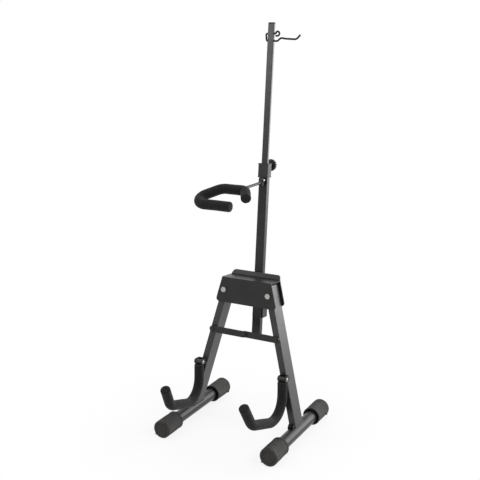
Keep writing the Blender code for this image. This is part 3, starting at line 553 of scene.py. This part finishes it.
def leg_outline():
    """Points round the leg's section."""
    x, y = LEG_SIZE[0] / 2, LEG_SIZE[1] / 2
    corners = [(-x, -y), (x, -y), (x, y), (-x, y)]
    out = []
    for a, b in zip(corners, corners[1:] + corners[:1]):
        steps = LEG_STEPS if a[0] == b[0] else LEG_STEPS // 2
        out += [(a[0] + (b[0] - a[0]) * k / steps, a[1] + (b[1] - a[1]) * k / steps) for k in range(steps)]
    return out


def bead(name, points, body, seed):
    """A rippled weld bead along a closed run of points."""
    path = resampled([*points, points[0]], BEAD_RIPPLE / BEAD_STEPS)
    rings = []
    for i, (point, (side, other)) in enumerate(zip(path, frames_along(path))):
        uneven = BEAD_UNEVEN * noise.noise(point * BEAD_UNEVEN_SCALE + Vector((seed, 0, 0)))
        ripple = BEAD_LOW + (1 - BEAD_LOW) * abs(math.sin(math.pi * i / BEAD_STEPS)) + uneven
        angles = [2 * math.pi * k / BEAD_SIDES for k in range(BEAD_SIDES)]
        rings.append([point + (side * math.cos(a) + other * math.sin(a)) * BEAD_R * ripple for a in angles])
    bm = bmesh.new()
    loft(bm, rings)
    make_piece(name, bm, body, "weld", math.radians(60))


def make_leg_weld(tag, side):
    """The bead where a leg's tube meets its foot tube."""
    low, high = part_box("foot_tube_" + tag)
    axis_x, axis_z = (low[0] + high[0]) / 2, (low[2] + high[2]) / 2
    matrix = leg_matrix(side)
    down = -matrix.col[2].xyz
    points = []
    for x, y in leg_outline():
        start = matrix @ Vector((x, y, 0))
        u, w = start.x - axis_x, start.z - axis_z
        a = down.x ** 2 + down.z ** 2
        b = 2 * (u * down.x + w * down.z)
        c = u * u + w * w - TUBE_R ** 2
        points.append(start + down * ((-b - math.sqrt(b * b - 4 * a * c)) / (2 * a)))
    bead("foot_weld_" + tag, points, tag + "_leg", 5.0 + side)


# Carried-over nodes
def dress_nodes():
    """Give each CAD node its material, and ease its edges."""
    looks = {entry["node"]: entry["material_slot"] for entry in frame["record"]["subparts"]}
    looks["mast_upper"] = "gloss"
    looks["bow_hook"] = "wire"
    for tag in SIDES:
        # The legs take the lighter copy of the coat, painted light for their lit side
        looks["leg_" + tag] = "leg"
        # The leg plugs take the darkest black: painted shade for the gap where a leg meets its foot tube
        looks["leg_plug_" + tag] = "wire"
    for name, obj in frame["nodes"].items():
        obj.data.materials.clear()
        obj.data.materials.append(MATERIALS[looks[name]])
        if name.startswith(NOT_EASED):
            continue
        bevel = obj.modifiers.new("eased_edges", "BEVEL")
        bevel.width = EDGE_EASE
        bevel.segments = 2
        bevel.limit_method = "ANGLE"
        bevel.angle_limit = EASE_OVER
        bevel.harden_normals = True


# Stage
def seen_rays(tree):
    """1 for camera, glossy and transmission rays, and 0 for all others."""
    path = tree.nodes.new("ShaderNodeLightPath")
    seen = path.outputs["Is Camera Ray"]
    for kind in ("Is Glossy Ray", "Is Transmission Ray"):
        either = tree.nodes.new("ShaderNodeMath")
        either.operation = "MAXIMUM"
        tree.links.new(seen, either.inputs[0])
        tree.links.new(path.outputs[kind], either.inputs[1])
        seen = either.outputs[0]
    return seen


def mix_in_white(tree, share, lit, white, output):
    """Send a shader to an output, with a share of white mixed in."""
    mix = tree.nodes.new("ShaderNodeMixShader")
    for source, target in zip((share, lit, white), mix.inputs):
        tree.links.new(source, target)
    tree.links.new(mix.outputs[0], output.inputs["Surface"])


def make_world():
    """Even light, which camera, glossy and transmission rays see as white."""
    world = bpy.data.worlds.new("studio")
    world.use_nodes = True
    tree = world.node_tree
    ambient = tree.nodes["Background"]
    white = tree.nodes.new("ShaderNodeBackground")
    for background, strength in ((ambient, WORLD_STRENGTH), (white, 1.0)):
        background.inputs["Color"].default_value = (1, 1, 1, 1)
        background.inputs["Strength"].default_value = strength
    mix_in_white(tree, seen_rays(tree), ambient.outputs[0], white.outputs[0], tree.nodes["World Output"])
    bpy.context.scene.world = world


def make_floor():
    """A pale floor, brought up to white for the rays that see it, which keeps the shadow."""
    bm = bmesh.new()
    bmesh.ops.create_grid(bm, x_segments=1, y_segments=1, size=FLOOR_SIZE)
    mesh = bpy.data.meshes.new("floor")
    bm.to_mesh(mesh)
    bm.free()
    floor = bpy.data.objects.new("floor", mesh)
    bpy.context.scene.collection.objects.link(floor)
    nodes = Nodes("pale_floor", (0.90, 0.90, 0.90), 0.8, 0.1)
    distance = nodes.add("ShaderNodeVectorMath", operation="LENGTH")
    nodes.link(nodes.place, distance.inputs[0])
    fade = nodes.add("ShaderNodeMapRange", interpolation_type="SMOOTHSTEP")
    fade.inputs["From Min"].default_value = FLOOR_FADE[0]
    fade.inputs["From Max"].default_value = FLOOR_FADE[1]
    fade.inputs["To Min"].default_value = FLOOR_NEAR
    nodes.link(distance.outputs["Value"], fade.inputs["Value"])
    share = nodes.add("ShaderNodeMath", operation="MULTIPLY")
    nodes.link(seen_rays(nodes.tree), share.inputs[0])
    nodes.link(fade.outputs["Result"], share.inputs[1])
    white = nodes.add("ShaderNodeEmission", Color=(1, 1, 1, 1), Strength=1.0)
    mix_in_white(nodes.tree, share.outputs[0], nodes.shader.outputs[0], white.outputs[0],
                 nodes.tree.nodes["Material Output"])
    mesh.materials.append(nodes.material)


def area_light(name, at, look_at, size, power):
    data = bpy.data.lights.new(name, "AREA")
    data.shape = "RECTANGLE"
    data.size, data.size_y = size
    data.energy = power
    light = bpy.data.objects.new(name, data)
    light.visible_camera = False
    bpy.context.scene.collection.objects.link(light)
    light.location = at
    light.rotation_mode = "QUATERNION"
    light.rotation_quaternion = (Vector(look_at) - Vector(at)).to_track_quat("-Z", "Y")


def make_camera():
    data = bpy.data.cameras.new("camera")
    data.lens = CAMERA_LENS
    data.sensor_width = SENSOR_WIDTH
    camera = bpy.data.objects.new("camera", data)
    bpy.context.scene.collection.objects.link(camera)
    camera.location = CAMERA_AT
    camera.rotation_euler = (math.pi / 2 - CAMERA_DOWN, 0.0, CAMERA_TURN)
    bpy.context.scene.camera = camera


make_camera()
make_world()
make_floor()
for lamp in LAMPS:
    area_light(*lamp)
dress_nodes()
make_foams()
for tag, side in SIDES.items():
    for end in ("front", "rear"):
        make_cap(tag, end)
    make_leg_weld(tag, side)
make_knob()

bpy.context.scene.view_settings.view_transform = "Standard"
